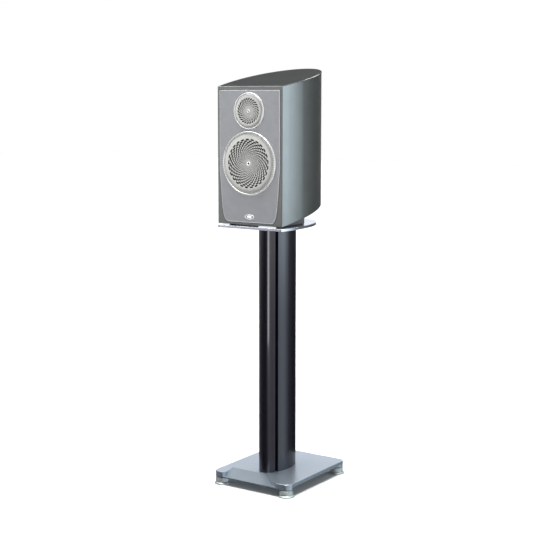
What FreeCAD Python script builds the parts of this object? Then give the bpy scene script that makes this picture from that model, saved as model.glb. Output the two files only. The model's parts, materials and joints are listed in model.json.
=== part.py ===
import FreeCAD, Part
import os
import math
from FreeCAD import Vector as V

# Stand-mounted two-way loudspeaker.  Millimetres, +Z up, front faces -Y.
# Origin: middle of the footprint, on the floor.

# ---------------------------------------------------------------- driving dimensions
FRONT_Y = -151.0            # cabinet front plane
CAB_PLAN = [(106.6, -151.0), (143.6, 36.7), (70.4, 136.85), (0.0, 136.85)]
CAV_PLAN = [(88.6, -126.0), (122.5, 32.0), (58.0, 118.9), (0.0, 118.9)]
BOT_Z, BOT_S = 747.7, 0.195     # cabinet underside height at the front, slope
TOP_Z, TOP_S = 1123.3, 0.18     # cabinet top height at the front, slope
LID_T = 20.0                # top and bottom panel thickness
BAFFLE_Y = -126.0           # back of the front baffle
SPINE_X = 48.0              # half-width of the rear spine panel
EDGE_R = 1.8                # cabinet edge rounding

FASCIA_Y = -152.0           # fascia front
POCKET_Y = -146.0           # fascia pocket floor in the baffle
FASCIA_Z0, FASCIA_Z1 = 755.0, 1113.0
FASCIA_GAP = 1.2
BADGE_Z = 771.0

WZ = 916.3                  # woofer axis height
TZ = 1057.4                 # tweeter axis height
PORT_Z = 1060.0             # port axis height
PORT_R, PORT_RO = 27.0, 29.5
POST_X, POST_Z = 16.0, (880.0, 918.0)
POST_R, POST_BORE = 3.0, 2.0

PLATE_Z0, PLATE_Z1 = 737.0, 744.0
PLATE_PLAN = [(108.0, -154.0), (131.0, -10.0), (72.0, 128.0), (0.0, 128.0)]
COL_A, COL_B, COL_Y = 38.5, 75.0, -14.0     # column ellipse semi-axes and centre
COL_GROOVE = (-65.9, -57.9)
BASE_X, BASE_Y = 128.65, 151.55             # base plate half sizes
BASE_Z0, BASE_Z1 = 28.0, 38.0
LIP_Z0, LIP_Z1 = 22.5, 25.3                 # front lip of the scooped ramp
BASE_R = 19.5
FOOT_X, FOOT_Y = 109.15, 132.05
STUD_R, STUD_BORE = 5.0, 5.05

os.makedirs("parts", exist_ok=True)


# ---------------------------------------------------------------- helpers
def box(x0, x1, y0, y1, z0, z1):
    return Part.makeBox(x1 - x0, y1 - y0, z1 - z0, V(x0, y0, z0))


def cyl_y(r, y0, y1, x=0.0, z=0.0):
    return Part.makeCylinder(r, y1 - y0, V(x, y0, z), V(0, 1, 0))


def cyl_z(r, z0, z1, x=0.0, y=0.0):
    return Part.makeCylinder(r, z1 - z0, V(x, y, z0), V(0, 0, 1))


def rev_y(pts, x=0.0, z=0.0):
    # closed profile of (radius, y) turned about the axis through (x, z)
    p = [V(x + r, y, z) for r, y in pts]
    return Part.Face(Part.makePolygon(p + [p[0]])).revolve(V(x, 0, z), V(0, 1, 0), 360)


def rev_z(pts, x=0.0, y=0.0):
    p = [V(x + r, y, h) for r, h in pts]
    return Part.Face(Part.makePolygon(p + [p[0]])).revolve(V(x, y, 0), V(0, 0, 1), 360)


def ring_y(ri, ro, y0, y1, x=0.0, z=0.0):
    return cyl_y(ro, y0, y1, x, z).cut(cyl_y(ri, y0 - 1, y1 + 1, x, z))


def plan_prism(poles, z0, z1):
    # plan with a straight front and one Bezier curve each side
    def bez(sign):
        c = Part.BezierCurve()
        c.setPoles([V(sign * x, y, z0) for x, y in poles])
        return c.toShape()
    x, y = poles[0]
    w = Part.Wire(Part.__sortEdges__([Part.makeLine(V(-x, y, z0), V(x, y, z0)), bez(1), bez(-1)]))
    return Part.Face(w).extrude(V(0, 0, z1 - z0))


def slab(b0, s0, b1, s1, x0=-160.0, x1=160.0, y0=-170.0, y1=160.0):
    # between two planes that rise towards the rear
    q = lambda b, s, y: b + s * (y - FRONT_Y)
    p = [V(x0, y0, q(b0, s0, y0)), V(x0, y1, q(b0, s0, y1)),
         V(x0, y1, q(b1, s1, y1)), V(x0, y0, q(b1, s1, y0))]
    return Part.Face(Part.makePolygon(p + [p[0]])).extrude(V(x1 - x0, 0, 0))


def around(shape, n, z, start=0.0):
    # n copies turned about a Y axis at height z
    out = []
    for i in range(n):
        s = shape.copy()
        s.rotate(V(0, 0, z), V(0, 1, 0), start + 360.0 * i / n)
        out.append(s)
    return out


def mirror_x(s):
    return s.mirror(V(0, 0, 0), V(1, 0, 0))


def save(name, shape):
    solids = shape.Solids
    assert solids, name
    out = solids[0] if len(solids) == 1 else Part.Compound(solids)
    assert out.isValid(), name
    out.exportStep(os.path.join("parts", name + ".step"))


def soften(shape, r, pick):
    edges = [e for e in shape.Edges if pick(e)]
    try:
        s = shape.makeFillet(r, edges)
        if s.isValid() and s.Solids:
            return s
    except Exception:
        pass
    print("edge rounding left out")
    return shape


# ---------------------------------------------------------------- cabinet
env = plan_prism(CAB_PLAN, 700, 1230).common(slab(BOT_Z, BOT_S, TOP_Z, TOP_S))


def on_rim(e):
    b = e.BoundBox
    q = lambda base, s: all(abs(v.Point.z - (base + s * (v.Point.y - FRONT_Y))) < 0.01 for v in e.Vertexes)
    if q(BOT_Z, BOT_S) or q(TOP_Z, TOP_S):
        return True
    return abs(b.YMax - FRONT_Y) < 0.01 and b.ZLength > 100


env = soften(env, EDGE_R, on_rim)

w_screw_at = [(75.5 * math.cos(math.radians(22.5 + 45 * i)), WZ + 75.5 * math.sin(math.radians(22.5 + 45 * i))) for i in range(8)]
t_screw_at = [(39.5 * math.cos(math.radians(45 + 90 * i)), TZ + 39.5 * math.sin(math.radians(45 + 90 * i))) for i in range(4)]


def fascia_blank(y0, y1, grow=0.0):
    pts = [(100, 905), (98.9, 888), (97.5, 871), (95.9, 851), (94.6, 831), (92.5, 808), (90.2, 790),
           (87.9, 776.5), (85.0, 767.2), (80.2, 759.6), (73.0, 755.0)]
    p = [V(x + grow, y0, z - (grow if z < 760 else 0.0)) for x, z in pts]
    p[-1] = V(73.0, y0, FASCIA_Z0 - grow)
    c = Part.BSplineCurve()
    c.interpolate(Points=p, InitialTangent=V(0, 0, -1), FinalTangent=V(-1, 0, 0))
    right = c.toShape()
    left = right.mirror(V(0, 0, 0), V(1, 0, 0))
    x, zt = 100 + grow, FASCIA_Z1 + grow
    rc = 3.0 + grow
    k = rc * (1 - math.sqrt(0.5))
    arc_r = Part.Arc(V(x, y0, zt - rc), V(x - k, y0, zt - k), V(x - rc, y0, zt)).toShape()
    arc_l = Part.Arc(V(-x, y0, zt - rc), V(-x + k, y0, zt - k), V(-x + rc, y0, zt)).toShape()
    edges = [right, left, arc_r, arc_l,
             Part.makeLine(V(x, y0, 905), V(x, y0, zt - rc)),
             Part.makeLine(V(-x, y0, 905), V(-x, y0, zt - rc)),
             Part.makeLine(V(x - rc, y0, zt), V(-x + rc, y0, zt)),
             Part.makeLine(V(73.0, y0, FASCIA_Z0 - grow), V(-73.0, y0, FASCIA_Z0 - grow))]
    return Part.Face(Part.Wire(Part.__sortEdges__(edges))).extrude(V(0, y1 - y0, 0))


# front baffle
baffle = env.common(box(-160, 160, -160, BAFFLE_Y, 700, 1230))
baffle = baffle.cut(fascia_blank(-160, POCKET_Y, FASCIA_GAP))
baffle = baffle.cut(cyl_y(72.0, -160, -100, 0, WZ)).cut(cyl_y(83.3, -160, -139.5, 0, WZ))
baffle = baffle.cut(cyl_y(35.0, -160, -100, 0, TZ)).cut(cyl_y(46.8, -160, -142.0, 0, TZ))
for x, z in w_screw_at:
    baffle = baffle.cut(cyl_y(1.82, -150, -128, x, z))
for x, z in t_screw_at:
    baffle = baffle.cut(cyl_y(1.52, -150, -130, x, z))
save("front_baffle", baffle)

# lids
rear = box(-160, 160, BAFFLE_Y, 160, 700, 1230)
body = env.common(rear)
top = body.common(slab(TOP_Z - LID_T, TOP_S, TOP_Z + 40, TOP_S))
bottom = body.common(slab(BOT_Z - 40, BOT_S, BOT_Z + LID_T, BOT_S))
save("top_panel", top)
tilt = math.degrees(math.atan(BOT_S))

# wall ring between the lids
wall = body.common(slab(BOT_Z + LID_T, BOT_S, TOP_Z - LID_T, TOP_S)).cut(plan_prism(CAV_PLAN, 700, 1230))
spine = wall.common(box(-SPINE_X, SPINE_X, 0, 160, 700, 1230))
save("side_panel_right", wall.common(box(0, 160, -160, 160, 700, 1230)).cut(box(-SPINE_X, SPINE_X, 0, 160, 700, 1230)))
save("side_panel_left", wall.common(box(-160, 0, -160, 160, 700, 1230)).cut(box(-SPINE_X, SPINE_X, 0, 160, 700, 1230)))

# rear spine with the terminal pocket and the port seat
TP = (31.0, 853.0, 947.0)       # terminal plate half-width, low and high
spine = spine.cut(box(-TP[0] - 0.3, TP[0] + 0.3, 127.0, 160, TP[1] - 0.3, TP[2] + 0.3))
spine = spine.cut(cyl_y(PORT_RO + 0.05, 90, 160, 0, PORT_Z)).cut(cyl_y(40.3, 125.5, 160, 0, PORT_Z))
posts_at = [(sx * POST_X, z) for z in POST_Z for sx in (-1, 1)]
for x, z in posts_at:
    spine = spine.cut(cyl_y(4.5, 100, 160, x, z))
t_plate_screws = [(sx * 26.0, z) for z in (860.0, 940.0) for sx in (-1, 1)]
for x, z in t_plate_screws:
    spine = spine.cut(cyl_y(1.3, 120, 160, x, z))
save("rear_spine_panel", spine)

port = rev_y([(PORT_R, -10), (PORT_RO, -10), (PORT_RO, 125.5), (40, 125.5), (40, 127.4), (39.4, 128.2), (38.2, 128.5),
              (34.0, 128.5), (31.9, 127.9), (30.2, 126.3), (28.8, 123.8), (27.8, 120.5), (27.2, 116.5), (PORT_R, 112)], 0, PORT_Z)
save("port_tube", port)

# brace between the drivers
brace = plan_prism(CAV_PLAN, 992, 1007)
win = plan_prism([(58, -96), (88, 18), (38, 84), (0, 84)], 980, 1020)
save("shelf_brace", brace.cut(win))

# sound-absorbing slab below the lid
save("damping_felt", slab(TOP_Z - LID_T - 12, TOP_S, TOP_Z - LID_T, TOP_S, -70, 70, -110, 60))

# ---------------------------------------------------------------- fascia and badge
fascia = fascia_blank(FASCIA_Y, POCKET_Y)
fascia = soften(fascia, 0.8, lambda e: abs(e.BoundBox.YMax - FASCIA_Y) < 0.01)
fascia = fascia.cut(cyl_y(84.0, -160, -140, 0, WZ)).cut(cyl_y(47.0, -160, -140, 0, TZ))
save("fascia_plate", fascia)

el = Part.Ellipse(V(15.0, FASCIA_Y, BADGE_Z), V(0, FASCIA_Y, BADGE_Z + 6.5), V(0, FASCIA_Y, BADGE_Z)).toShape()
badge = Part.Face(Part.Wire(el)).extrude(V(0, -1.2, 0))
save("badge", badge)

# ---------------------------------------------------------------- woofer
save("woofer_trim_ring", rev_y([(82.0, -149.5), (84.0, -149.5), (84.0, -152.0), (86.8, -152.0), (86.8, -154.6),
                                (86.3, -156.0), (85.3, -156.8), (84.3, -157.0), (83.1, -156.4), (82.3, -155.2), (82.0, -154.0)], 0, WZ))


def diamond(rc, hr, ht, zc):
    # four-sided cutter centred at radius rc, radial half-size hr, tangential half-size ht
    p = [V(0, -165, zc + rc - hr), V(ht, -165, zc + rc), V(0, -165, zc + rc + hr), V(-ht, -165, zc + rc)]
    return Part.Face(Part.makePolygon(p + [p[0]])).extrude(V(0, 17.5, 0))


def lens(front, skirt, zc, rings, t=1.2):
    # dished disc with a convex rim and a skirt that seats on the driver
    ri, ro, yb = skirt
    back = [(r, y + t) for r, y in reversed(front) if r < ri - 0.01]
    prof = front + [(ro, yb), (ri, yb), (ri, front[-1][1] + t + 0.6)] + back
    s = rev_y(prof, 0, zc)
    cutters = []
    for i, (rc, n, hr, ht) in enumerate(rings):
        cutters += around(diamond(rc, hr, ht, zc), n, zc, 180.0 / n * (i % 2))
    return s.cut(Part.Compound(cutters))


W_FRONT = [(0, -156.0), (20, -156.2), (40, -156.8), (60, -157.3), (67, -157.5), (72, -157.4), (77, -156.6), (80, -155.4), (82, -153.6)]
save("woofer_lens", lens(W_FRONT, (79.5, 82.0, -146.0), WZ,
                         [(62.0, 24, 4.2, 4.6), (51.0, 24, 4.0, 3.9), (41.0, 24, 3.4, 3.1), (32.5, 24, 2.8, 2.5), (25.0, 24, 2.3, 1.9)]))

basket = rev_y([(66.0, -146.0), (83.0, -146.0), (83.0, -141.0), (71.3, -141.0), (68.8, -138.0), (65.0, -126.0), (53.2, -99.0),
                (52.0, -95.0), (30.0, -95.0), (30.0, -97.0), (49.5, -97.0), (50.9, -103.0), (44.0, -103.0), (44.0, -104.5),
                (51.6, -104.5), (62.6, -126.5), (66.0, -138.0)], 0, WZ)
win = box(-17, 17, -134, -108, WZ + 45, WZ + 80)
win = win.cut(cyl_y(49.0, -200, -50, 0, WZ))
basket = basket.cut(Part.Compound(around(win, 6, WZ)))
for x, z in w_screw_at:
    basket = basket.cut(cyl_y(2.0, -150, -135, x, z))
save("woofer_basket", basket)
gasket = ring_y(71.5, 83.0, -141.0, -139.5, 0, WZ)
for x, z in w_screw_at:
    gasket = gasket.cut(cyl_y(2.0, -145, -135, x, z))
save("woofer_gasket", gasket)
save("woofer_screws", Part.Compound([cyl_y(3.0, -148.4, -146.0, x, z).fuse(cyl_y(1.8, -146.0, -128.0, x, z)) for x, z in w_screw_at]))

# moving parts of the woofer
roll = []
for i in range(13):
    a = math.pi * i / 12
    roll.append((62.0 - 5.0 * math.cos(a), -146.2 - 5.0 * math.sin(a)))
roll_in = [(62.0 + (x - 62.0) * 0.86, -146.2 + (y + 146.2) * 0.86 + 0.02) for x, y in roll]
surround = rev_y([(55.0, -147.0)] + [(57.0, -147.0)] + roll[1:-1] + [(67.0, -147.0), (70.5, -147.0), (70.5, -146.0), (66.3, -146.0)]
                 + list(reversed(roll_in[1:-1])) + [(57.7, -146.2), (55.0, -146.2)], 0, WZ)
save("woofer_surround", surround)
save("woofer_cone", rev_y([(19.12, -118.0), (20.1, -118.0), (56.6, -145.6), (56.6, -146.2), (55.2, -146.2), (19.12, -118.9)], 0, WZ))
save("woofer_spider", rev_y([(19.12, -106.0), (22, -106.0), (24, -107.2), (27, -104.6), (30, -107.2), (33, -104.6), (36, -107.2), (39, -104.9), (41, -105.1), (48.0, -105.1),
                             (48.0, -104.5), (41, -104.5), (39, -104.3), (36, -106.6), (33, -104.0), (30, -106.6), (27, -104.0), (24, -106.6), (22, -105.4), (19.12, -105.4)], 0, WZ))
save("woofer_voice_coil", rev_y([(18.4, -119.0), (19.1, -119.0), (19.1, -96.5), (19.4, -96.5), (19.4, -85.5), (19.1, -85.5), (19.1, -84.0), (18.4, -84.0)], 0, WZ))
cap, cap_in = [], []
for i in range(9):
    a = math.radians(90.0 * i / 8)
    cap.append((25.0 * math.sin(a), -123.7 - 8.0 * math.cos(a)))
    cap_in.append((24.4 * math.sin(a), -123.7 - 7.3 * math.cos(a)))
save("woofer_dust_cap", rev_y(cap + list(reversed(cap_in)), 0, WZ))

save("woofer_pole_plate", ring_y(19.8, 48.0, -95.0, -87.0, 0, WZ))
save("woofer_magnet", ring_y(26.0, 52.0, -87.0, -67.0, 0, WZ))
save("woofer_yoke", cyl_y(48.0, -67.0, -59.0, 0, WZ).fuse(cyl_y(17.9, -97.0, -67.0, 0, WZ)).cut(cyl_y(6.0, -100, -50, 0, WZ)).removeSplitter())

# ---------------------------------------------------------------- tweeter
save("tweeter_trim_ring", rev_y([(46.0, -149.5), (47.0, -149.5), (47.0, -152.0), (49.2, -152.0), (49.2, -154.2), (48.6, -155.4),
                                 (47.6, -156.0), (46.6, -155.4), (46.0, -154.2)], 0, TZ))
T_FRONT = [(0, -155.5), (16, -156.0), (30, -156.8), (35.6, -157.0), (39, -156.9), (42.5, -156.2), (44.8, -155.0), (46.0, -153.6)]
save("tweeter_lens", lens(T_FRONT, (44.0, 46.0, -146.0), TZ, [(31.5, 20, 3.0, 2.8), (25.0, 20, 2.5, 2.2), (19.6, 20, 2.0, 1.7)]))
face = rev_y([(17.2, -142.0), (46.5, -142.0), (46.5, -146.0), (22.0, -146.0), (18.5, -145.0), (17.2, -144.0)], 0, TZ)
for x, z in t_screw_at:
    face = face.cut(cyl_y(1.7, -150, -140, x, z))
save("tweeter_faceplate", face)
save("tweeter_screws", Part.Compound([cyl_y(2.8, -147.8, -146.0, x, z).fuse(cyl_y(1.5, -146.0, -130.0, x, z)) for x, z in t_screw_at]))
dome, dome_in = [], []
for i in range(9):
    a = math.radians(90.0 * i / 8)
    dome.append((12.7 * math.sin(a), -143.0 - 5.2 * math.cos(a)))
    dome_in.append((12.2 * math.sin(a), -143.0 - 4.8 * math.cos(a)))
save("tweeter_dome", rev_y(dome + list(reversed(dome_in)), 0, TZ))
save("tweeter_surround", rev_y([(12.7, -143.6), (13.4, -144.4), (14.7, -144.9), (16.0, -144.4), (17.0, -143.4), (17.0, -142.6),
                                (16.2, -142.9), (14.7, -144.3), (13.4, -143.4), (12.7, -143.0)], 0, TZ))
save("tweeter_voice_coil", ring_y(12.2, 12.7, -143.0, -135.0, 0, TZ))
save("tweeter_pole_parts", Part.Compound([ring_y(13.3, 30.0, -142.0, -138.0, 0, TZ),
                                          cyl_y(30.0, -124.0, -118.0, 0, TZ).fuse(cyl_y(11.6, -141.0, -124.0, 0, TZ)).removeSplitter()]))
save("tweeter_magnet", ring_y(16.0, 30.0, -138.0, -124.0, 0, TZ))
save("tweeter_rear_chamber", rev_y([(30.05, -142.0), (34.0, -142.0), (34.0, -89.0), (30.0, -85.0), (0.0, -85.0), (0.0, -87.5), (29.0, -87.5),
                                    (31.5, -90.0), (31.5, -118.0), (30.05, -118.0)], 0, TZ))

# ---------------------------------------------------------------- terminals at the rear
tplate = box(-TP[0], TP[0], 127.0, 130.0, TP[1], TP[2])
tplate = soften(tplate, 4.0, lambda e: abs(e.BoundBox.YLength - 3.0) < 0.01 and e.BoundBox.ZLength < 0.1)
for x, z in posts_at:
    tplate = tplate.cut(cyl_y(3.05, 120, 140, x, z))
for x, z in t_plate_screws:
    tplate = tplate.cut(cyl_y(1.7, 120, 140, x, z))
save("terminal_plate", tplate)
save("terminal_screws", Part.Compound([cyl_y(2.8, 130.0, 131.6, x, z).fuse(cyl_y(1.3, 121.0, 130.0, x, z)) for x, z in t_plate_screws]))
studs, straps = [], []
for x, z in posts_at:
    s = cyl_y(POST_R, 110.0, 157.0, x, z).fuse(cyl_y(6.0, 130.0, 134.0, x, z)).fuse(cyl_y(4.2, 112.0, 115.0, x, z))
    studs.append(s.cut(cyl_y(POST_BORE, 139.0, 160.0, x, z)).removeSplitter())
save("binding_posts", Part.Compound(studs))
for sx in (-1, 1):
    s = box(sx * POST_X - 5, sx * POST_X + 5, 134.0, 135.0, POST_Z[0] - 6, POST_Z[1] + 6)
    for z in POST_Z:
        s = s.cut(cyl_y(POST_R + 0.02, 130, 140, sx * POST_X, z))
    straps.append(s)
save("jumper_straps", Part.Compound(straps))
for i, (x, z) in enumerate(posts_at):
    nut = rev_y([(POST_R + 0.08, 135.3), (7.0, 135.3), (7.0, 138.0), (8.5, 139.5), (8.5, 155.5), (7.4, 157.5), (POST_R + 0.08, 157.5)], x, z)
    flutes = []
    for k in range(8):
        a = math.radians(45.0 * k)
        flutes.append(cyl_y(1.4, 140.0, 160.0, x + 9.3 * math.cos(a), z + 9.3 * math.sin(a)))
    save("post_nut_%d" % (i + 1), nut.cut(Part.Compound(flutes)))

# ---------------------------------------------------------------- crossover on the cabinet floor


def on_floor(shape):
    # from flat coordinates (floor at z = 0, origin at y = 20) onto the sloping cabinet floor
    s = shape.copy()
    s.rotate(V(0, 0, 0), V(1, 0, 0), tilt)
    s.translate(V(0, 20.0, BOT_Z + LID_T + BOT_S * (20.0 - FRONT_Y)))
    return s


board = box(-55, 55, -40, 40, 6.0, 7.6)
stands = []
for sx in (-48, 48):
    for sy in (-33, 33):
        board = board.cut(cyl_z(1.6, 0, 20, sx, sy))
        stands.append(cyl_z(3.0, 0.0, 6.0, sx, sy).fuse(cyl_z(1.6, 6.0, 7.6, sx, sy)).fuse(cyl_z(2.6, 7.6, 9.0, sx, sy)))
board = board.fuse(stands[0]).fuse(stands[1]).fuse(stands[2]).fuse(stands[3])
save("crossover_board", on_floor(board))
coils = []
for x, y, r, h in ((-32, -12, 17, 20), (14, 18, 15, 16), (36, -16, 12, 14)):
    coils.append(cyl_z(r, 7.6, 7.6 + h, x, y).cut(cyl_z(r * 0.42, 0, 60, x, y)))
save("crossover_inductors", on_floor(Part.Compound(coils)))
caps = []
for x, y, r, l in ((-26, 22, 8, 34), (3, -24, 6.5, 28), (38, 8, 6, 26)):
    caps.append(Part.makeCylinder(r, l, V(x - l / 2.0 if abs(x) < 30 else x, y if abs(x) < 30 else y - l / 2.0 + 6, 7.6 + r),
                                  V(1, 0, 0) if abs(x) < 30 else V(0, 1, 0)))
save("crossover_capacitors", on_floor(Part.Compound(caps)))
save("bottom_panel", bottom)

# ---------------------------------------------------------------- wedge rails between cabinet and stand
RAIL = (72.0, 83.0, -132.0, -5.0)
rails, pads = [], []
for sx in (-1, 1):
    x0, x1 = sorted((sx * RAIL[0], sx * RAIL[1]))
    r = box(x0, x1, RAIL[2], RAIL[3], 746.0, 800.0).common(slab(0, 0, BOT_Z, BOT_S))
    rails.append(r)
    pads.append(box(x0 + 1, x1 - 1, RAIL[2] + 1, RAIL[3] - 1, 744.3, 746.0))
save("support_rails", Part.Compound(rails))
save("rail_pads", Part.Compound(pads))

# ---------------------------------------------------------------- stand
bolt_y = (-42.0, 34.0)
tp = plan_prism(PLATE_PLAN, PLATE_Z0, PLATE_Z1)
tp = soften(tp, 6.0, lambda e: e.BoundBox.ZLength > 6.9 and abs(e.BoundBox.YMax + 154.0) < 0.01)
tp = soften(tp, 1.0, lambda e: e.BoundBox.ZLength < 0.01 and abs(e.BoundBox.ZMax - PLATE_Z1) < 0.01)
for y in bolt_y:
    tp = tp.cut(cyl_z(4.2, 700, 760, 0, y)).cut(Part.makeCone(4.2, 8.2, 4.0, V(0, y, PLATE_Z1 - 4.0), V(0, 0, 1)))
save("top_plate", tp)


def ellipse_prism(a, b, yc, z0, z1):
    e = Part.Ellipse(V(0, yc + b, z0), V(a, yc, z0), V(0, yc, z0)).toShape()
    return Part.Face(Part.Wire(e)).extrude(V(0, 0, z1 - z0))


outer = ellipse_prism(COL_A, COL_B, COL_Y, BASE_Z1, PLATE_Z0)
inner = ellipse_prism(COL_A - 3.0, COL_B - 3.0, COL_Y, BASE_Z1 - 1, PLATE_Z0 + 1)
front_zone = box(-60, 60, -100, COL_GROOVE[0], 0, 800)
rear_zone = box(-60, 60, COL_GROOVE[1], 80, 0, 800)
p_front = outer.common(front_zone).cut(inner.common(box(-60, 60, -100, COL_GROOVE[0] - 3.0, 0, 800)))
p_rear = outer.common(rear_zone).cut(inner.common(box(-60, 60, COL_GROOVE[1] + 3.0, 80, 0, 800)))
p_rear = p_rear.fuse(box(-20, 20, COL_GROOVE[0], COL_GROOVE[1], BASE_Z1, PLATE_Z0))
for y in bolt_y:
    p_rear = p_rear.fuse(cyl_z(8.0, BASE_Z1, PLATE_Z0, 0, y)).fuse(box(-37, 37, y - 1.5, y + 1.5, BASE_Z1, PLATE_Z0).common(outer))
for y in bolt_y:
    p_rear = p_rear.cut(cyl_z(4.0, BASE_Z1 - 1, BASE_Z1 + 30, 0, y)).cut(cyl_z(4.0, PLATE_Z0 - 30, PLATE_Z0 + 1, 0, y))
save("pillar_front", p_front.removeSplitter())
save("pillar_rear", p_rear.removeSplitter())

bolts = []
for y in bolt_y:
    up = cyl_z(4.0, BASE_Z0 + 4.0, BASE_Z1 + 28, 0, y).fuse(Part.makeCone(8.0, 4.0, 4.0, V(0, y, BASE_Z0), V(0, 0, 1)))
    up = up.cut(Part.makeBox(5, 5, 3, V(-2.5, y - 2.5, BASE_Z0 - 0.5)))
    dn = cyl_z(4.0, PLATE_Z0 - 28, PLATE_Z1 - 4.0, 0, y).fuse(Part.makeCone(4.0, 8.0, 4.0, V(0, y, PLATE_Z1 - 4.0), V(0, 0, 1)))
    dn = dn.cut(Part.makeBox(5, 5, 3, V(-2.5, y - 2.5, PLATE_Z1 - 2.5)))
    bolts += [up.removeSplitter(), dn.removeSplitter()]
save("column_bolts", Part.Compound(bolts))

# base plate with the scooped front ramp
bp = box(-BASE_X, BASE_X, -BASE_Y, BASE_Y, BASE_Z0, BASE_Z1)
bp = soften(bp, BASE_R, lambda e: e.BoundBox.ZLength > 9)
bp = soften(bp, 1.2, lambda e: e.BoundBox.ZLength < 0.01 and abs(e.BoundBox.ZMax - BASE_Z1) < 0.01)


# apron below the ramp, running down to the lip
yf = -BASE_Y
apron = Part.Face(Part.makePolygon([V(-FOOT_X, yf, LIP_Z0), V(-FOOT_X, yf, BASE_Z0 + 1), V(-FOOT_X, yf + 27, BASE_Z0 + 1), V(-FOOT_X, yf + 22, BASE_Z0),
                                    V(-FOOT_X, yf, LIP_Z0)])).extrude(V(2 * FOOT_X, 0, 0))
bp = bp.fuse(apron)
for sx in (-1, 1):
    bp = bp.fuse(cyl_z(BASE_R, 21.5, BASE_Z0, sx * FOOT_X, -FOOT_Y))
# one inclined plane bounded by curved walls at both ends
def plan_spline(pts):
    c = Part.BSplineCurve()
    c.interpolate([V(x, y, 15) for x, y in pts])
    return c.toShape()


RAMP_LEFT = [(-97.0, -95.0), (-97.4, -101.0), (-94.8, -112.0), (-92.2, -124.0), (-89.8, -138.0), (-90.6, -145.5), (-95.0, -151.0), (-102.0, -156.0)]
RAMP_RIGHT = [(8.0, -95.0), (20.0, -101.5), (30.0, -110.5), (39.0, -119.5), (50.0, -129.5), (60.0, -137.0), (72.0, -144.5), (85.0, -150.3), (96.0, -153.6), (103.0, -156.0)]
rim_l, rim_r = plan_spline(RAMP_LEFT), plan_spline(RAMP_RIGHT)
rim = [rim_l, rim_r, Part.makeLine(V(RAMP_LEFT[0][0], RAMP_LEFT[0][1], 15), V(RAMP_RIGHT[0][0], RAMP_RIGHT[0][1], 15)),
       Part.makeLine(V(RAMP_LEFT[-1][0], RAMP_LEFT[-1][1], 15), V(RAMP_RIGHT[-1][0], RAMP_RIGHT[-1][1], 15))]
scoop = Part.Face(Part.Wire(Part.__sortEdges__(rim))).extrude(V(0, 0, 45))
slope = (BASE_Z1 - LIP_Z1) / (-96.0 - yf)
zr = lambda y: BASE_Z1 + slope * (y + 96.0)
wedge = Part.makePolygon([V(-140, -90, zr(-90)), V(-140, -90, 70), V(-140, -170, 70), V(-140, -170, zr(-170)), V(-140, -90, zr(-90))])
scoop = scoop.common(Part.Face(wedge).extrude(V(280, 0, 0)))
bp = bp.cut(scoop)
for sx in (-1, 1):
    bp = bp.fuse(cyl_z(BASE_R, 21.5, BASE_Z0, sx * FOOT_X, FOOT_Y))
for sx in (-1, 1):
    for sy in (-1, 1):
        bp = bp.cut(cyl_z(STUD_BORE, 20, 36.0, sx * FOOT_X, sy * FOOT_Y))
for y in bolt_y:
    bp = bp.cut(cyl_z(4.2, 20, 50, 0, y)).cut(Part.makeCone(8.2, 4.2, 4.0, V(0, y, BASE_Z0), V(0, 0, 1)))
save("base_plate", bp.removeSplitter())

# levelling feet
n = 0
for sy in (-1, 1):
    for sx in (-1, 1):
        n += 1
        x, y = sx * FOOT_X, sy * FOOT_Y
        zt = 35.5
        barrel = rev_z([(0, 19.5), (STUD_R, 19.5), (STUD_R, zt), (0, zt)], x, y)
        outer_b = rev_z([(0, 6.3), (18.8, 6.3), (19.6, 7.1), (19.6, 16.2), (19.2, 16.6), (19.6, 17.0), (19.6, 18.7), (18.8, 19.5), (0, 19.5)], x, y)
        barrel = barrel.fuse(outer_b).cut(cyl_z(6.05, 0, 14.3, x, y)).removeSplitter()
        save("foot_barrel_%d" % n, barrel)
        pad = rev_z([(0, 0), (22.2, 0), (23.0, 1.0), (23.0, 2.6), (21.6, 4.2), (20.0, 5.2), (19.4, 6.0), (6.0, 6.0), (6.0, 14.0), (0, 14.0)], x, y)
        save("foot_pad_%d" % n, pad)

print("written", len(os.listdir("parts")))
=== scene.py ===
import bpy, bmesh, math, json
import numpy as np
from mathutils import Vector, Matrix

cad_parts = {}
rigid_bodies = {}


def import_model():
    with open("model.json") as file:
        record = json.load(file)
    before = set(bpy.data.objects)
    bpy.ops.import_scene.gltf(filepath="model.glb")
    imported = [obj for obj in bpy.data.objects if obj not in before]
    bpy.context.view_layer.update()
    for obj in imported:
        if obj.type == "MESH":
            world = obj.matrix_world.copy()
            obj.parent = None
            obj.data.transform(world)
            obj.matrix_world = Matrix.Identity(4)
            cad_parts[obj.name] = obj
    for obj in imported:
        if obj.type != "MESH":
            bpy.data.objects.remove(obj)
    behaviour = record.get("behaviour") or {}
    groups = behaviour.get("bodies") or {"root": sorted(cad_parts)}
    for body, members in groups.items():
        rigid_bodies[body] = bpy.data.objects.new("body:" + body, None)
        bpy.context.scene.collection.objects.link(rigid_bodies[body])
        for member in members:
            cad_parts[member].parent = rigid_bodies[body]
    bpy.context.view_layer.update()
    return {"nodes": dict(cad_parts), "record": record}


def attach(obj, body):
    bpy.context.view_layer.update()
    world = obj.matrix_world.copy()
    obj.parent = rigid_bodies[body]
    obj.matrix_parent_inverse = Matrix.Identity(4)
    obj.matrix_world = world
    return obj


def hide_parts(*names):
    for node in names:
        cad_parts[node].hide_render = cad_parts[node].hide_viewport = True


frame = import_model()
NODES = frame["nodes"]
MM = 0.001
TAU = 2 * math.pi


# ------------------------------------------------------------------ materials
def ramp(nt, fac, stops):
    r = nt.nodes.new("ShaderNodeValToRGB")
    el = r.color_ramp.elements
    while len(el) < len(stops):
        el.new(0.5)
    for e, (p, c) in zip(el, stops):
        e.position = p
        e.color = (*c, 1.0)
    nt.links.new(fac, r.inputs["Fac"])
    return r.outputs["Color"]


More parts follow.
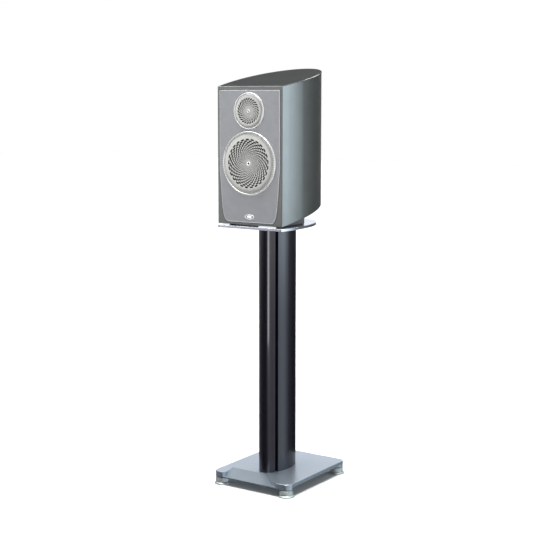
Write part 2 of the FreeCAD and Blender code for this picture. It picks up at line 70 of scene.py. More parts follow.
def noise(nt, co, scale, detail=3.0, rough=0.55, stretch=(1, 1, 1)):
    m = nt.nodes.new("ShaderNodeMapping")
    m.inputs["Scale"].default_value = stretch
    nt.links.new(co, m.inputs["Vector"])
    n = nt.nodes.new("ShaderNodeTexNoise")
    n.inputs["Scale"].default_value = scale
    n.inputs["Detail"].default_value = detail
    n.inputs["Roughness"].default_value = rough
    nt.links.new(m.outputs["Vector"], n.inputs["Vector"])
    return n.outputs["Fac"]


def material(name, dark, light, rough=(0.3, 0.4), metallic=0.0, coat=0.0, coat_rough=0.03, scale=60.0, stretch=(1, 1, 1),
             bump=0.02, bump_scale=400.0, bump_stretch=None, spec=0.5, ior=1.5, sheen=0.0, aniso=0.0, flake=0.0, dist=0.0004):
    m = bpy.data.materials.new(name)
    m.use_nodes = True
    nt = m.node_tree
    bs = nt.nodes["Principled BSDF"]
    tc = nt.nodes.new("ShaderNodeTexCoord")
    co = tc.outputs["Object"]
    fac = noise(nt, co, scale, 4.0, 0.6, stretch)
    col = ramp(nt, fac, [(0.3, dark), (0.7, light)])
    if flake > 0:
        v = nt.nodes.new("ShaderNodeTexVoronoi")
        v.inputs["Scale"].default_value = 2600.0
        nt.links.new(co, v.inputs["Vector"])
        mx = nt.nodes.new("ShaderNodeMix")
        mx.data_type = "RGBA"
        mx.blend_type = "OVERLAY"
        mx.inputs["Factor"].default_value = flake
        nt.links.new(col, mx.inputs["A"])
        nt.links.new(v.outputs["Color"], mx.inputs["B"])
        hs = nt.nodes.new("ShaderNodeHueSaturation")
        hs.inputs["Saturation"].default_value = 0.35
        nt.links.new(mx.outputs["Result"], hs.inputs["Color"])
        col = hs.outputs["Color"]
    nt.links.new(col, bs.inputs["Base Color"])
    fr = noise(nt, co, scale * 1.7 + 11, 3.0, 0.5, stretch)
    mr = nt.nodes.new("ShaderNodeMapRange")
    mr.inputs["To Min"].default_value = rough[0]
    mr.inputs["To Max"].default_value = rough[1]
    nt.links.new(fr, mr.inputs["Value"])
    nt.links.new(mr.outputs["Result"], bs.inputs["Roughness"])
    if bump > 0:
        fb = noise(nt, co, bump_scale, 2.0, 0.5, bump_stretch or stretch)
        b = nt.nodes.new("ShaderNodeBump")
        b.inputs["Strength"].default_value = bump
        b.inputs["Distance"].default_value = dist
        nt.links.new(fb, b.inputs["Height"])
        nt.links.new(b.outputs["Normal"], bs.inputs["Normal"])
    bs.inputs["Metallic"].default_value = metallic
    bs.inputs["IOR"].default_value = ior
    bs.inputs["Specular IOR Level"].default_value = spec
    bs.inputs["Coat Weight"].default_value = coat
    bs.inputs["Coat Roughness"].default_value = coat_rough
    bs.inputs["Sheen Weight"].default_value = sheen
    bs.inputs["Anisotropic"].default_value = aniso
    return m


def grey(v, t=(1, 1, 1)):
    return (v * t[0], v * t[1], v * t[2])


def srgb(r, g, b):
    f = lambda c: (c / 255 / 12.92) if c <= 10 else ((c / 255 + 0.055) / 1.055) ** 2.4
    return (f(r), f(g), f(b))


M = {}
M["lacquer"] = material("cabinet_lacquer", srgb(91, 97, 92), srgb(97, 103, 97), rough=(0.28, 0.33), metallic=0.75, coat=1.0, coat_rough=0.02,
                        scale=14, bump=0.01, bump_scale=900, flake=0.10)
M["fascia"] = material("fascia_satin", srgb(150, 151, 155), srgb(156, 157, 161), rough=(0.40, 0.46), metallic=0.55, scale=40, bump=0.05, bump_scale=1500)
M["trim"] = material("trim_polished", srgb(232, 232, 229), srgb(240, 240, 237), rough=(0.30, 0.38), metallic=0.55, scale=80, bump=0.01)
M["lens"] = material("lens_grey", srgb(200, 200, 196), srgb(207, 207, 203), rough=(0.34, 0.42), metallic=0.7, scale=60, bump=0.03, bump_scale=1600)
M["hub"] = material("cover_hub", srgb(176, 176, 173), srgb(184, 184, 181), rough=(0.40, 0.48), metallic=0.6, scale=60, bump=0.03, bump_scale=1600)
# hole walls and back face of the perforated covers: near-black painted shade inside the holes
M["hole_shade"] = material("cover_hole_painted_shade", grey(0.002), grey(0.004), rough=(0.7, 0.8), scale=60, bump=0.02, spec=0.2)
# dark grey for the dots on the woofer ring crown: painted shade of the beads
M["dimple"] = material("ring_dimple", srgb(70, 70, 69), srgb(78, 78, 76), rough=(0.4, 0.5), metallic=0.5, scale=60, bump=0.02)
# light grey for the bead around the fascia: painted highlight
M["edge_line"] = material("fascia_edge_painted_highlight", srgb(196, 198, 200), srgb(206, 208, 210), rough=(0.25, 0.32), metallic=0.5, scale=60, bump=0.01)
M["badge"] = material("badge_metal", srgb(244, 246, 247), srgb(250, 251, 252), rough=(0.2, 0.28), metallic=0.3, scale=100, bump=0.01)
# darker grey for the badge's recessed field: painted shade in the recess
M["badge_recess_painted_shade"] = material("badge_recess_painted_shade", srgb(96, 98, 102), srgb(104, 106, 110), rough=(0.3, 0.36), metallic=0.4, scale=100, bump=0.02)
M["black_metal"] = material("basket_alloy", grey(0.012), grey(0.02), rough=(0.45, 0.6), metallic=0.4, scale=120, bump=0.1, bump_scale=1500)
M["rubber"] = material("black_rubber", grey(0.010), grey(0.016), rough=(0.55, 0.7), scale=90, bump=0.08, bump_scale=1200)
M["cone"] = material("cone_sheet", grey(0.008), grey(0.012), rough=(0.4, 0.5), metallic=0.3, scale=50, bump=0.02)
M["spider"] = material("spider_cloth", (0.30, 0.19, 0.07), (0.40, 0.26, 0.10), rough=(0.8, 0.9), scale=500, bump=0.3, bump_scale=2200)
M["copper"] = material("coil_wire", (0.45, 0.17, 0.06), (0.62, 0.26, 0.10), rough=(0.25, 0.35), metallic=0.9, scale=300, bump=0.3, bump_scale=1500, stretch=(1, 4, 4))
M["ferrite"] = material("ferrite", grey(0.02), grey(0.035), rough=(0.6, 0.75), scale=200, bump=0.2, bump_scale=900)
M["steel"] = material("plain_steel", srgb(150, 151, 155), srgb(176, 177, 180), rough=(0.3, 0.42), metallic=1.0, scale=60, bump=0.05, bump_scale=900)
M["screw"] = material("screw_steel", grey(0.02), grey(0.04), rough=(0.35, 0.5), metallic=0.9, scale=200, bump=0.05)
M["plastic"] = material("black_plastic", grey(0.012), grey(0.018), rough=(0.42, 0.55), scale=150, bump=0.12, bump_scale=1800)
M["gold"] = material("gold_plate", srgb(220, 178, 96), srgb(235, 196, 116), rough=(0.16, 0.24), metallic=1.0, scale=120, bump=0.02)
M["nut"] = material("nut_metal", srgb(170, 172, 174), srgb(192, 193, 196), rough=(0.2, 0.3), metallic=1.0, scale=150, bump=0.05, bump_scale=2000, stretch=(1, 0.2, 1))
M["board"] = material("circuit_board", (0.008, 0.06, 0.02), (0.012, 0.09, 0.03), rough=(0.3, 0.4), scale=120, bump=0.05, coat=0.3)
M["capacitor"] = material("capacitor_sleeve", (0.30, 0.02, 0.01), (0.40, 0.03, 0.015), rough=(0.25, 0.35), scale=60, bump=0.02)
M["wood"] = material("brace_board", srgb(176, 140, 98), srgb(200, 165, 120), rough=(0.7, 0.85), scale=160, bump=0.3, bump_scale=700)
M["felt"] = material("felt", grey(0.08), grey(0.16), rough=(0.9, 1.0), scale=700, bump=0.8, bump_scale=1400, sheen=0.4, dist=0.001)
M["rail"] = material("rail_grey", srgb(96, 93, 96), srgb(104, 100, 104), rough=(0.35, 0.45), metallic=0.3, scale=90, bump=0.03, coat=0.3)
M["silver"] = material("plate_silver", srgb(160, 171, 181), srgb(166, 177, 187), rough=(0.30, 0.36), metallic=0.85, scale=30, bump=0.03, bump_scale=1800)
M["plate_top"] = material("top_plate_silver", srgb(196, 199, 208), srgb(206, 208, 217), rough=(0.12, 0.18), metallic=0.9, scale=30, bump=0.015, bump_scale=1500)
M["column"] = material("column_black", srgb(15, 14, 25), srgb(19, 18, 31), rough=(0.28, 0.34), metallic=0.35, scale=30, bump=0.015, coat=1.0, coat_rough=0.09)
# near-black for the column's groove: painted shade, not assigned to any piece
M["groove"] = material("column_slot_painted_shade", grey(0.001), grey(0.002), rough=(0.6, 0.7), scale=60, bump=0.02)
M["foot"] = material("foot_metal", srgb(164, 171, 171), srgb(172, 179, 178), rough=(0.38, 0.46), metallic=0.6, scale=60, bump=0.05, bump_scale=1200, stretch=(0.3, 0.3, 6))

M["band_red"] = material("band_red", (0.42, 0.012, 0.010), (0.50, 0.016, 0.012), rough=(0.3, 0.4), scale=120, bump=0.02, coat=0.4)
M["band_black"] = material("band_black", grey(0.010), grey(0.016), rough=(0.3, 0.4), scale=120, bump=0.02, coat=0.4)
M["column"].node_tree.nodes["Principled BSDF"].inputs["Coat Tint"].default_value = (1.0, 0.93, 0.97, 1.0)

SLOT_MAT = {"cabinet_lacquer": "lacquer", "brace_board": "wood", "felt": "felt", "fascia_satin": "fascia", "badge_white": "badge",
            "trim_polished": "trim", "lens_grey": "lens", "basket_alloy": "black_metal", "black_rubber": "rubber", "cone_sheet": "cone",
            "spider_cloth": "spider", "coil_wire": "copper", "ferrite": "ferrite", "plain_steel": "steel", "screw_steel": "screw",
            "black_plastic": "plastic", "gold_plate": "gold", "nut_metal": "nut", "circuit_board": "board", "capacitor_sleeve": "capacitor",
            "rail_grey": "rail", "plate_silver": "silver", "column_black": "column", "foot_metal": "foot", "pad_metal": "foot"}
for sp in frame["record"]["subparts"]:
    o = NODES[sp["node"]]
    o.data.materials.clear()
    o.data.materials.append(M[SLOT_MAT[sp["material_slot"]]])
NODES["top_plate"].data.materials[0] = M["plate_top"]


# ------------------------------------------------------------------ mesh helpers
def mesh_object(name, verts, faces, mats, body, angle=32, mat_index=None):
    me = bpy.data.meshes.new(name)
    me.from_pydata([tuple(v) for v in verts], [], faces)
    me.validate()
    bm = bmesh.new()
    bm.from_mesh(me)
    bmesh.ops.recalc_face_normals(bm, faces=bm.faces)
    bm.to_mesh(me)
    bm.free()
    for m in mats:
        me.materials.append(M[m])
    if mat_index is not None:
        me.polygons.foreach_set("material_index", mat_index)
    me.polygons.foreach_set("use_smooth", [True] * len(me.polygons))
    me.set_sharp_from_angle(angle=math.radians(angle))
    o = bpy.data.objects.new(name, me)
    bpy.context.scene.collection.objects.link(o)
    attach(o, body)
    return o


def lathe_y(name, prof, x, z, body, mat, seg=160, angle=32):
    # closed profile of (radius, y) in mm, turned about the Y axis through (x, z) mm
    verts, faces = [], []
    n = len(prof)
    for i in range(seg):
        a = TAU * i / seg
        for r, y in prof:
            verts.append(((x + r * math.cos(a)) * MM, y * MM, (z + r * math.sin(a)) * MM))
    for i in range(seg):
        j = (i + 1) % seg
        for k in range(n):
            l = (k + 1) % n
            if prof[k][0] < 1e-6 and prof[l][0] < 1e-6:
                continue
            q = [i * n + k, i * n + l, j * n + l, j * n + k]
            if prof[k][0] < 1e-6:
                q = [k, i * n + l, j * n + l]
            elif prof[l][0] < 1e-6:
                q = [i * n + k, l, j * n + k]
            faces.append(q)
    return mesh_object(name, verts, faces, [mat], body, angle)


def arc(cx, cy, r, a0, a1, n):
    return [(cx + r * math.cos(math.radians(a0 + (a1 - a0) * i / n)), cy + r * math.sin(math.radians(a0 + (a1 - a0) * i / n))) for i in range(n + 1)]


def spline(pts, n):
    # Catmull-Rom through (r, y) points
    out = []
    P = [pts[0]] + list(pts) + [pts[-1]]
    for i in range(1, len(P) - 2):
        p0, p1, p2, p3 = (np.array(P[i + k], float) for k in (-1, 0, 1, 2))
        for k in range(n):
            t = k / n
            out.append(tuple(0.5 * ((2 * p1) + (p2 - p0) * t + (2 * p0 - 5 * p1 + 4 * p2 - p3) * t * t + (3 * p1 - p0 - 3 * p2 + p3) * t ** 3)))
    out.append(tuple(map(float, pts[-1])))
    return out


def perforated(name, zc, face_y, r0, r1, bands, arms, a, b, power, sh, alt, rim, hub, thick, body, mats, q=8):
    # disc with a spiral lattice of holes: bands of cells between r0 and r1, each with one rounded hole
    verts, faces, idx = [], [], []
    N = q * arms
    lnr = math.log(r1 / r0)

    def put(r, th, y):
        verts.append((r * math.cos(th) * MM, y * MM, (zc + r * math.sin(th)) * MM))
        return len(verts) - 1

    R = [r0 * math.exp(lnr * k / bands) for k in range(bands + 1)]
    ring_f = [[put(r, TAU * m / N, face_y(r)) for m in range(N)] for r in R]
    ring_b = [[put(r, TAU * m / N, face_y(r) + thick) for m in range(N)] for r in R]
    h = lnr / bands
    off = 0
    for k in range(bands):
        gk = 0.84 + 0.26 * k / max(1, bands - 1)
        rm = math.sqrt(R[k] * R[k + 1])
        mid_f, mid_b = {}, {}
        for j in range(arms):
            th = TAU * (q * j + off - q / 2 + sh / 2) / N
            mid_f[j] = put(rm, th, face_y(rm))
            mid_b[j] = put(rm, th, face_y(rm) + thick)
        for j in range(arms):
            cb = q * j + off
            ct = cb + sh
            loop = []
            for m in range(-q // 2, q // 2 + 1):
                loop.append((ring_f[k][(cb + m) % N], ring_b[k][(cb + m) % N], m / (q / 2), -1.0))
            loop.append((mid_f[(j + 1) % arms], mid_b[(j + 1) % arms], 1.0, 0.0))
            for m in range(q // 2, -q // 2 - 1, -1):
                loop.append((ring_f[k + 1][(ct + m) % N], ring_b[k + 1][(ct + m) % N], m / (q / 2), 1.0))
            loop.append((mid_f[j], mid_b[j], -1.0, 0.0))
            hf, hb = [], []
            for _, _, u, v in loop:
                phi = math.atan2(v, u)
                c, s = math.cos(phi), math.sin(phi)
                d = (abs(c) ** power + abs(s) ** power) ** (-1.0 / power)
                hu, hv = min(a * gk, 0.8) * c * d, min(b * gk, 0.95) * s * d
                th = TAU * (cb + sh / 2 + hu * q / 2 + hv * sh / 2) / N
                r = rm * math.exp(hv * h / 2)
                hf.append(put(r, th, face_y(r)))
                hb.append(put(r, th, face_y(r) + thick))
            n = len(loop)
            for i in range(n):
                i2 = (i + 1) % n
                faces.append([loop[i][0], loop[i2][0], hf[i2], hf[i]])
                faces.append([loop[i][1], hb[i], hb[i2], loop[i2][1]])
                faces.append([hf[i], hf[i2], hb[i2], hb[i]])
                # material 1 on the back face and the hole walls is the near-black painted shade
                idx += [0, 1, 1]
        off += sh + alt
    # hub, front and back
    prev_f, prev_b = ring_f[0], ring_b[0]
    for r, y in hub[:-1]:
        cur_f = [put(r, TAU * m / N, y) for m in range(N)]
        cur_b = [put(r, TAU * m / N, y + thick) for m in range(N)]
        for m in range(N):
            m2 = (m + 1) % N
            faces.append([prev_f[m], cur_f[m], cur_f[m2], prev_f[m2]])
            faces.append([prev_b[m], prev_b[m2], cur_b[m2], cur_b[m]])
            idx += [2, 1]
        prev_f, prev_b = cur_f, cur_b
    cf, cb_ = put(0, 0, hub[-1][1]), put(0, 0, hub[-1][1] + thick)
    for m in range(N):
        m2 = (m + 1) % N
        faces.append([prev_f[m], cf, prev_f[m2]])
        faces.append([prev_b[m], prev_b[m2], cb_])
        idx += [2, 1]
    # rim: from the lattice edge over the crown, down the skirt and back inside
    prev = ring_f[-1]
    for r, y in rim:
        cur = [put(r, TAU * m / N, y) for m in range(N)]
        for m in range(N):
            m2 = (m + 1) % N
            faces.append([prev[m], prev[m2], cur[m2], cur[m]])
            idx.append(0)
        prev = cur
    for m in range(N):
        m2 = (m + 1) % N
        faces.append([prev[m], prev[m2], ring_b[-1][m2], ring_b[-1][m]])
        idx.append(1)
    return mesh_object(name, verts, faces, mats, body, 38, idx)


WZ, TZ = 916.3, 1057.4

# ------------------------------------------------------------------ woofer cover
w_face = lambda r: -156.0 - 1.5 * (r / 67.0) ** 1.4
w_rim = spline([(67, -157.5), (69, -157.45), (73, -157.22), (77, -156.6), (80, -155.5), (81.4, -154.5), (81.95, -153.4)], 4)[1:]
w_rim += [(81.95, -146.3), (79.6, -146.3), (79.6, -152.6), (78, -154.2), (74, -155.6), (69, -156.2)]
lens_w = perforated("woofer_perforated_cover", WZ, w_face, 11.5, 67.0, 25, 25, 0.66, 0.88, 2.6, 0, -8, w_rim,
                    [(10.0, -156.15), (7.0, -156.3), (2.0, -156.35), (0, -156.35)], 0.5, "speaker", ["lens", "hole_shade", "hub"], 20)
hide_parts("woofer_lens")

# ------------------------------------------------------------------ tweeter cover
t_face = lambda r: -155.5 - 1.5 * (r / 35.6) ** 1.3
t_rim = spline([(35.6, -157.0), (37, -156.98), (40, -156.7), (42.5, -156.1), (44.6, -155.1), (45.6, -154.3), (45.95, -153.6)], 4)[1:]
t_rim += [(45.95, -146.3), (44.1, -146.3), (44.1, -152.6), (42, -154.4), (39, -155.4), (37, -155.8)]
lens_t = perforated("tweeter_perforated_cover", TZ, t_face, 14.0, 35.6, 4, 26, 0.66, 0.94, 2.3, -12, 0, t_rim,
                    [(12.6, -155.85), (8.0, -155.95), (2.0, -156.0), (0, -156.0)], 0.4, "speaker", ["lens", "hole_shade", "hub"], 16)
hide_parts("tweeter_lens")

# ------------------------------------------------------------------ bright trim rings
prof = [(82.05, -149.5), (84.0, -149.5), (84.0, -152.0), (86.75, -152.0)] + arc(84.45, -154.6, 2.3, 0, -180, 18)[0:] + [(82.05, -153.0)]
prof = [(r, max(y, -156.9)) for r, y in prof]
ring_w = lathe_y("woofer_trim_bright", prof, 0, WZ, "speaker", "trim", 240)
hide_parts("woofer_trim_ring")
prof = [(46.05, -149.5), (47.0, -149.5), (47.0, -152.0), (49.15, -152.0)] + arc(47.6, -154.1, 1.55, 0, -180, 16) + [(46.05, -152.8)]
ring_t = lathe_y("tweeter_trim_bright", prof, 0, TZ, "speaker", "trim", 200)
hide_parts("tweeter_trim_ring")

# dark patches laid on the crown of the woofer ring: painted shade standing in for the hollows of a beaded rim
verts, faces = [], []
for k in range(112):
    base = len(verts)
    for i in range(5):
        a = TAU * (k + 0.5 * i / 4) / 112
        for j in range(4):
            r = 83.5 + 1.9 * j / 3
            y = -154.6 - math.sqrt(2.3 ** 2 - (r - 84.45) ** 2) - 0.02
            verts.append((r * math.cos(a) * MM, y * MM, (WZ + r * math.sin(a)) * MM))
    for i in range(4):
        for j in range(3):
            q0 = base + i * 4 + j
            faces.append([q0, q0 + 1, q0 + 5, q0 + 4])
mesh_object("woofer_ring_dimples", verts, faces, ["dimple"], "speaker", 40)

# raised bead around the fascia, coloured lighter than the fascia: painted highlight along its edge
fo = NODES["fascia_plate"]
fm_ = fo.data
use = {}
for pol in fm_.polygons:
    if pol.normal.y < -0.98:
        for e in pol.edge_keys:
            use[e] = use.get(e, 0) + 1
adj = {}
for (i, j), c in use.items():
    if c == 1:
        adj.setdefault(i, []).append(j)
        adj.setdefault(j, []).append(i)
loops = []
seen = set()
for st in adj:
    if st in seen:
        continue
    lp_, cur, prv = [st], adj[st][0], st
    seen.add(st)
    while cur != st and cur not in seen:
        lp_.append(cur)
        seen.add(cur)
        nx = [v for v in adj[cur] if v != prv]
        if not nx:
            break
        prv, cur = cur, nx[0]
    loops.append(lp_)
co3 = [[fo.matrix_world @ fm_.vertices[i].co for i in l] for l in loops]
out = max(co3, key=lambda l: max(v.z for v in l) - min(v.z for v in l))
yf_ = out[0].y / MM
P2 = [np.array((v.x / MM, v.z / MM)) for v in out]
P2 = [p_ for i, p_ in enumerate(P2) if np.linalg.norm(p_ - P2[i - 1]) > 0.05]
area2 = sum(P2[i - 1][0] * P2[i][1] - P2[i][0] * P2[i - 1][1] for i in range(len(P2)))
if area2 < 0:
    P2 = P2[::-1]
n = len(P2)
inw = []
for i in range(n):
    d0 = P2[i] - P2[i - 1]
    d1 = P2[(i + 1) % n] - P2[i]
    t_ = d0 / np.linalg.norm(d0) + d1 / np.linalg.norm(d1)
    t_ /= np.linalg.norm(t_)
    inw.append(np.array((-t_[1], t_[0])))
sec = [(0.02, 0.3), (0.1, -0.2), (0.35, -0.32), (1.15, -0.32), (1.4, -0.2), (1.5, 0.3)]
verts, faces = [], []
for i in range(n):
    for o_, dy in sec:
        q_ = P2[i] + inw[i] * o_
        verts.append((q_[0] * MM, (yf_ + dy) * MM, q_[1] * MM))
m_ = len(sec)
for i in range(n):
    j = (i + 1) % n
    for k in range(m_ - 1):
        faces.append([i * m_ + k, i * m_ + k + 1, j * m_ + k + 1, j * m_ + k])
mesh_object("fascia_edge_line", verts, faces, ["edge_line"], "speaker", 40)

# washers and centre screws on the covers
for nm, zc, y, k in (("woofer", WZ, -156.12, 1.22), ("tweeter", TZ, -156.0, 1.0)):
    lathe_y(nm + "_hub_washer", [(2.3 * k, y + 0.2), (2.3 * k, y - 0.3)] + arc(3.6 * k, y - 0.3, 1.3 * k * 0.62, 180, 360, 8) + [(4.6 * k, y - 0.2), (4.6 * k, y + 0.2)],
            0, zc, "speaker", "badge", 64)
    lathe_y(nm + "_hub_screw", [(0, y + 0.2), (0, y - 0.45), (2.0 * k, y - 0.45), (2.45 * k, y - 0.3), (2.45 * k, y + 0.2)], 0, zc, "speaker", "black_metal", 48)


# ------------------------------------------------------------------ column
def outline_prism(name, pts, z0, z1, body, mat, cap=True, angle=28):
    n = len(pts)
    verts = [(x * MM, y * MM, z * MM) for z in (z0, z1) for x, y in pts]
    faces = [[i, (i + 1) % n, n + (i + 1) % n, n + i] for i in range(n)]
    if cap:
        faces += [list(range(n))[::-1], list(range(n, 2 * n))]
    return mesh_object(name, verts, faces, [mat], body, angle)


CA, CB, CY = 38.5, 75.0, -14.0


def ell_x(y):
    return CA * math.sqrt(max(0.0, 1 - ((y - CY) / CB) ** 2))


def ell_pts(y_from, y_to, n, side):
    # points on the ellipse by angle, right side (side=1) or left (-1)
    a0 = math.asin(max(-1, min(1, (y_from - CY) / CB)))
    a1 = math.asin(max(-1, min(1, (y_to - CY) / CB)))
    return [(side * CA * math.cos(a0 + (a1 - a0) * i / n), CY + CB * math.sin(a0 + (a1 - a0) * i / n)) for i in range(n + 1)]


nose = ell_pts(-66.8, -89.0, 40, 1)[:-1] + ell_pts(-89.0, -66.8, 40, -1)
xr = ell_x(-66.8)
nose += [(-xr + 0.15, -66.3), (-xr + 0.7, -65.95), (-xr + 1.3, -65.9), (xr - 1.3, -65.9), (xr - 0.7, -65.95), (xr - 0.15, -66.3)]
pf = outline_prism("column_nose", nose, 38.0, 737.0, "stand", "column")
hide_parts("pillar_front")
xr = ell_x(-57.0)
rear = ell_pts(-57.0, 61.0, 90, 1)[:-1] + ell_pts(61.0, -57.0, 90, -1)
rear += [(-xr + 0.15, -57.5), (-xr + 0.7, -57.85), (-xr + 1.3, -57.9), (-20.0, -57.9), (-20.0, -65.9), (20.0, -65.9), (20.0, -57.9),
         (xr - 1.3, -57.9), (xr - 0.7, -57.85), (xr - 0.15, -57.5)]
pr = outline_prism("column_rear", rear, 38.0, 737.0, "stand", "column")
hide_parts("pillar_rear")

# ------------------------------------------------------------------ badge
verts, faces, idx = [], [], []
rings = [(1.0, 0.0), (1.0, -0.75), (0.985, -1.0), (0.95, -1.15), (0.91, -1.15), (0.875, -1.0), (0.86, -0.75), (0.86, -0.5), (0.58, -0.5), (0.56, -0.85), (0.5, -1.0), (0.25, -1.1)]
nseg = 96
for s, y in rings:
    for i in range(nseg):
        a = TAU * i / nseg
        verts.append((15.0 * s * math.cos(a) * MM, (-152.0 + y) * MM, (771.0 + (6.5 - 15.0 * (1 - s) * (0.8 if s > 0.8 else 0.433)) * math.sin(a)) * MM))
for k in range(len(rings) - 1):
    for i in range(nseg):
        j = (i + 1) % nseg
        faces.append([k * nseg + i, k * nseg + j, (k + 1) * nseg + j, (k + 1) * nseg + i])
        # the recessed field and the inner wall of the centre take the darker grey: painted shade
        idx.append(1 if k in (7, 8) else 0)
faces.append([(len(rings) - 1) * nseg + i for i in range(nseg)]); idx.append(0)
faces.append([i for i in range(nseg)][::-1]); idx.append(0)
bg = mesh_object("badge_oval", verts, faces, ["badge", "badge_recess_painted_shade"], "speaker", 40, idx)
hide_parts("badge")

# ------------------------------------------------------------------ polarity bands on the terminal nuts
for k in (1, 2, 3, 4):
    nb = NODES["post_nut_%d" % k]
    bb = [nb.matrix_world @ Vector(c) for c in nb.bound_box]
    c_ = [(min(v[i] for v in bb) + max(v[i] for v in bb)) / 2 / MM for i in range(3)]
    lathe_y("post_band_%d" % k, [(7.9, c_[1] + 3.0), (8.62, c_[1] + 3.2), (8.72, c_[1] + 3.6), (8.72, c_[1] + 5.4), (8.62, c_[1] + 5.8), (7.9, c_[1] + 6.0)],
            c_[0], c_[2], "nut_%d" % k, "band_red" if c_[0] < 0 else "band_black", 72)

# ------------------------------------------------------------------ smooth shading on the carried-over nodes
for o in NODES.values():
    me = o.data
    me.polygons.foreach_set("use_smooth", [True] * len(me.polygons))

# ------------------------------------------------------------------ stage
bpy.ops.mesh.primitive_plane_add(size=30, location=(0, 0, 0))
floor = bpy.context.object
floor.name = "floor"
fm = bpy.data.materials.new("floor_pale")
fm.use_nodes = True
fb = fm.node_tree.nodes["Principled BSDF"]
fb.inputs["Base Color"].default_value = (0.60, 0.60, 0.60, 1)
fb.inputs["Roughness"].default_value = 0.9
fb.inputs["Specular IOR Level"].default_value = 0.1
floor.data.materials.append(fm)

floor.visible_glossy = False
w = bpy.data.worlds.new("studio")
bpy.context.scene.world = w
w.use_nodes = True
nt = w.node_tree
bgn = nt.nodes["Background"]
bgn.inputs["Strength"].default_value = 1.0


def wmath(op, a, b=None):
    n = nt.nodes.new("ShaderNodeMath")
    n.operation = op
    for i, v in enumerate((a, b)):
        if v is None:
            continue
        if isinstance(v, (int, float)):
            n.inputs[i].default_value = v
        else:
            nt.links.new(v, n.inputs[i])
    return n.outputs[0]


def wramp(fac, stops, interp="LINEAR"):
    r = nt.nodes.new("ShaderNodeValToRGB")
    r.color_ramp.interpolation = interp
    el = r.color_ramp.elements
    while len(el) < len(stops):
        el.new(0.5)
    for e, (p, v) in zip(el, stops):
        e.position = p
        e.color = (v, v, v, 1)
    nt.links.new(fac, r.inputs["Fac"])
    return r.outputs["Color"]


# studio surround by azimuth (degrees from -Y toward +X) and height of the direction; values are radiance / 4
AZ = [(-180, 0.12), (-125, 0.12), (-80, 0.8), (-50, 0.30), (-25, 0.10), (25, 0.08), (56, 1.9), (88, 1.5), (100, 3.5), (127, 3.9), (136, 1.8), (143.4, 0.84), (145.0, 0.25), (165, 0.08), (180, 0.08)]
HT = [(-1.0, 0.35), (-0.30, 0.22), (-0.17, 0.23), (-0.06, 1.0), (0.07, 1.0), (0.2, 0.35), (0.35, 0.3), (0.6, 0.5), (1.0, 0.8)]
TOP = 0.46
tcn = nt.nodes.new("ShaderNodeTexCoord")
sep = nt.nodes.new("ShaderNodeSeparateXYZ")
nt.links.new(tcn.outputs["Generated"], sep.inputs[0])
azf = wmath("ADD", wmath("MULTIPLY", wmath("ARCTAN2", sep.outputs["X"], wmath("MULTIPLY", sep.outputs["Y"], -1.0)), 1 / TAU), 0.5)
zf = wmath("ADD", wmath("MULTIPLY", sep.outputs["Z"], 0.5), 0.5)
az_c = wramp(azf, [((d + 180) / 360, v / 4) for d, v in AZ])
ht_c = wramp(zf, [((z + 1) / 2, v) for z, v in HT])
top_f = wramp(zf, [((0.35 + 1) / 2, 0.0), ((0.75 + 1) / 2, 1.0)])
side_v = wmath("MULTIPLY", wmath("MULTIPLY", az_c, ht_c), 4.0)
val = wmath("ADD", wmath("MULTIPLY", side_v, wmath("SUBTRACT", 1.0, top_f)), wmath("MULTIPLY", top_f, TOP))
tint = nt.nodes.new("ShaderNodeMix")
tint.data_type = "RGBA"
tint.blend_type = "MULTIPLY"
tint.inputs["Factor"].default_value = 1.0
nt.links.new(val, tint.inputs["A"])
tr = wramp(azf, [(0.0, 1.0), ((95 + 180) / 360, 1.0), ((105 + 180) / 360, 0.0), ((140 + 180) / 360, 0.0), ((150 + 180) / 360, 1.0)])
tm = nt.nodes.new("ShaderNodeMix")
tm.data_type = "RGBA"
tm.inputs["A"].default_value = (0.84, 1.0, 1.10, 1)
tm.inputs["B"].default_value = (0.97, 1.0, 1.03, 1)
nt.links.new(tr, tm.inputs["Factor"])
nt.links.new(tm.outputs["Result"], tint.inputs["B"])
lp = nt.nodes.new("ShaderNodeLightPath")
mx = nt.nodes.new("ShaderNodeMix")
mx.data_type = "RGBA"
mx.inputs["B"].default_value = (1.0, 1.0, 1.0, 1)
nt.links.new(tint.outputs["Result"], mx.inputs["A"])
nt.links.new(lp.outputs["Is Camera Ray"], mx.inputs["Factor"])
nt.links.new(mx.outputs["Result"], bgn.inputs["Color"])


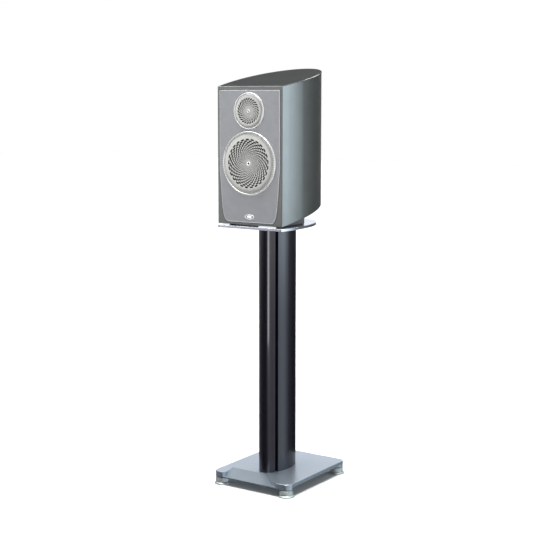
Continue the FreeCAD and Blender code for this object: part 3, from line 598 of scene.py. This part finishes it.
def area(name, az, el, dist, size, power, target=(0, 0, 0.75), size_y=None, color=(1, 1, 1), z=None):
    l = bpy.data.lights.new(name, "AREA")
    l.shape = "RECTANGLE"
    l.size = size
    l.size_y = size_y or size
    l.energy = power
    l.color = color
    o = bpy.data.objects.new(name, l)
    bpy.context.scene.collection.objects.link(o)
    a, e = math.radians(az), math.radians(el)
    p = Vector((math.sin(a) * math.cos(e), -math.cos(a) * math.cos(e), math.sin(e))) * dist + Vector(target)
    if z is not None:
        p.z = z
    o.location = p
    o.rotation_mode = "QUATERNION"
    o.rotation_quaternion = (Vector(target) - p).to_track_quat("-Z", "Y")
    return o


def softbox(name, az, dist, z0, z1, width, radiance, color=(1, 1, 1)):
    # vertical rectangular light facing the axis of the object
    h = z1 - z0
    o = area(name, az, 0, dist, width, math.pi * width * h * radiance, target=(0, 0, (z0 + z1) / 2), size_y=h, color=color)
    return o


area("overhead", 20, 80, 2.6, 2.2, 45, target=(0, 0, 0.6))
softbox("back_card", -146, 3.0, -0.4, 1.66, 1.9, 1.02, (0.97, 0.99, 1.04))
softbox("front_left_box", -38, 2.0, 0.55, 1.7, 1.5, 1.15)
for nm, az_, el_, tgt in (("edge_light_front", -79, 54, (0, -0.15, 1.13)), ("edge_light_side", 178, 34, (0.09, 0, 1.15))):
    area(nm, az_, el_, 2.6, 0.9, math.pi * 0.81 * (12.0 if az_ < 0 else 8.0), target=tgt)
softbox("column_strip", 44, 2.0, 0.02, 0.62, 0.55, 5.0, (0.97, 1.0, 1.02))
sun = bpy.data.lights.new("floor_light", "SUN")
sun.energy = 6.0
sun.angle = math.radians(30)
so = bpy.data.objects.new("floor_light", sun)
bpy.context.scene.collection.objects.link(so)
so.location = (0, 0, 5)
for o in bpy.context.scene.objects:
    if o.type == "LIGHT":
        o.visible_camera = False

# ------------------------------------------------------------------ camera
cam = bpy.data.cameras.new("camera")
cam.sensor_width = 36.0
cam.lens = 84.34
cam.shift_x = -0.001
cam.shift_y = -0.015
cam.clip_start, cam.clip_end = 0.05, 60
co = bpy.data.objects.new("camera", cam)
bpy.context.scene.collection.objects.link(co)
co.location = (1.95355, -2.91307, 1.10006)
az, el = math.radians(34.469), math.radians(7.464)
fwd = Vector((-math.sin(az) * math.cos(el), math.cos(az) * math.cos(el), -math.sin(el)))
co.rotation_mode = "QUATERNION"
co.rotation_quaternion = fwd.to_track_quat("-Z", "Y")
bpy.context.scene.camera = co
vs = bpy.context.scene.view_settings
vs.view_transform = "Standard"
vs.look = "None"
vs.exposure = 0.0
vs.gamma = 1.0
